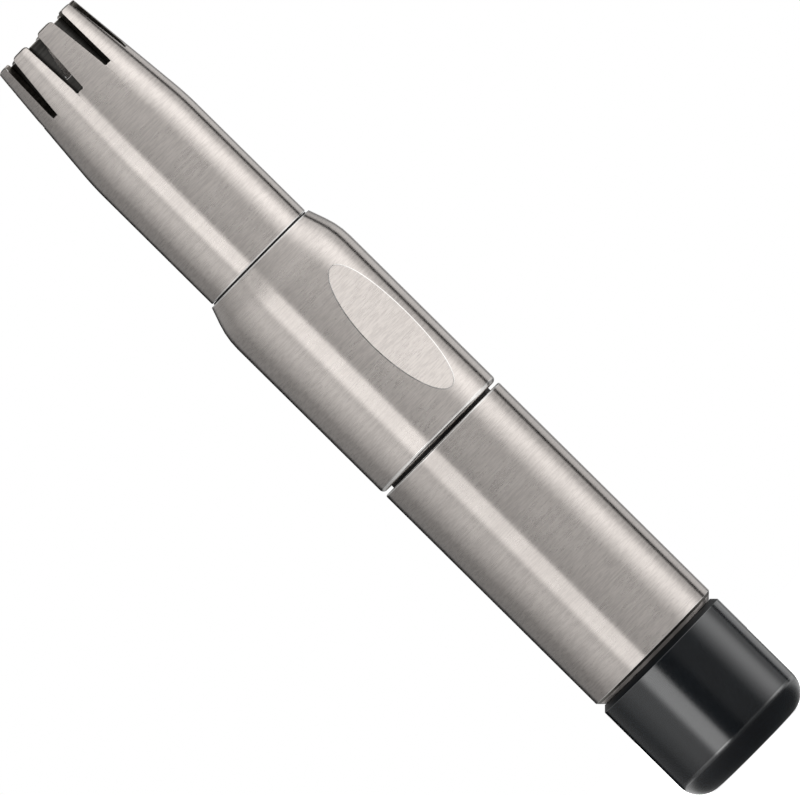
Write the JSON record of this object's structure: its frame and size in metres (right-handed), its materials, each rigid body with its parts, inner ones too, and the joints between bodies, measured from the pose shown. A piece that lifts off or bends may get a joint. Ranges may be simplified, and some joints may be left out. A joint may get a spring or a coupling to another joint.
{
  "type": "nose hair trimmer",
  "caption": "Hand-twisted rotary nose hair trimmer: slotted tapered cutter head, casing with a thumb rest, turning grip sleeve and a push-on cap.",
  "frame": {"origin": "centre of the flat end face of the protective cap, on which the trimmer stands", "axes": "+Z along the trimmer's axis towards the cutter's tip; the thumb rest faces -Y; +X completes the right-handed frame"},
  "size_m": [0.0126, 0.0126, 0.0802],
  "materials": {
    "brushed_steel": "satin, brushed round the body",
    "blade_steel": "dark ground steel",
    "bright_steel": "polished",
    "bronze": "sintered",
    "aluminium": "turned",
    "blue_black_plastic": "semi-gloss moulded",
    "black_nylon": "matte moulded",
    "white_acetal": "turned",
    "black_rubber": "matte"
  },
  "bodies": {
    "protective_cap": {"protective_cap": "blue_black_plastic"},
    "twist_grip": {"grip_sleeve": "brushed_steel", "grip_core": "aluminium", "drive_shaft": "bright_steel", "grip_set_screw": "blade_steel", "retaining_clip": "blade_steel", "shim_washer": "bright_steel", "tail_plug": "black_nylon", "tail_screw": "bright_steel", "cap_o_ring": "black_rubber", "drive_pin": "bright_steel", "spring_seat": "bright_steel", "rotor_spring": "bright_steel"},
    "rotor": {"rotor_blade": "blade_steel", "rotor_hub": "bronze"},
    "casing": {"upper_casing": "brushed_steel", "head_spigot": "black_nylon", "head_key_pin": "bright_steel", "head_o_ring": "black_rubber", "front_bushing": "bronze", "rear_bushing": "white_acetal", "thrust_washer": "black_nylon"},
    "cutter_head": {"cutter_head": "brushed_steel"}
  },
  "joints": [
    {"name": "cap_pull", "type": "slide", "parent": "protective_cap", "child": "twist_grip", "axis": [0, 0, 1], "range_m": [0, 0.012]},
    {"name": "rotor_float", "type": "slide", "parent": "twist_grip", "child": "rotor", "axis": [0, 0, 1], "range_m": [-0.0005, 0], "stiffness_N_per_m": 400, "springref_m": 0.003, "deforming": ["rotor_spring"]},
    {"name": "grip_twist", "type": "hinge", "parent": "twist_grip", "child": "casing", "pos_m": [0, 0, 0.035], "axis": [0, 0, 1], "continuous": true},
    {"name": "head_pull", "type": "slide", "parent": "casing", "child": "cutter_head", "axis": [0, 0, 1], "range_m": [0, 0.026]}
  ]
}
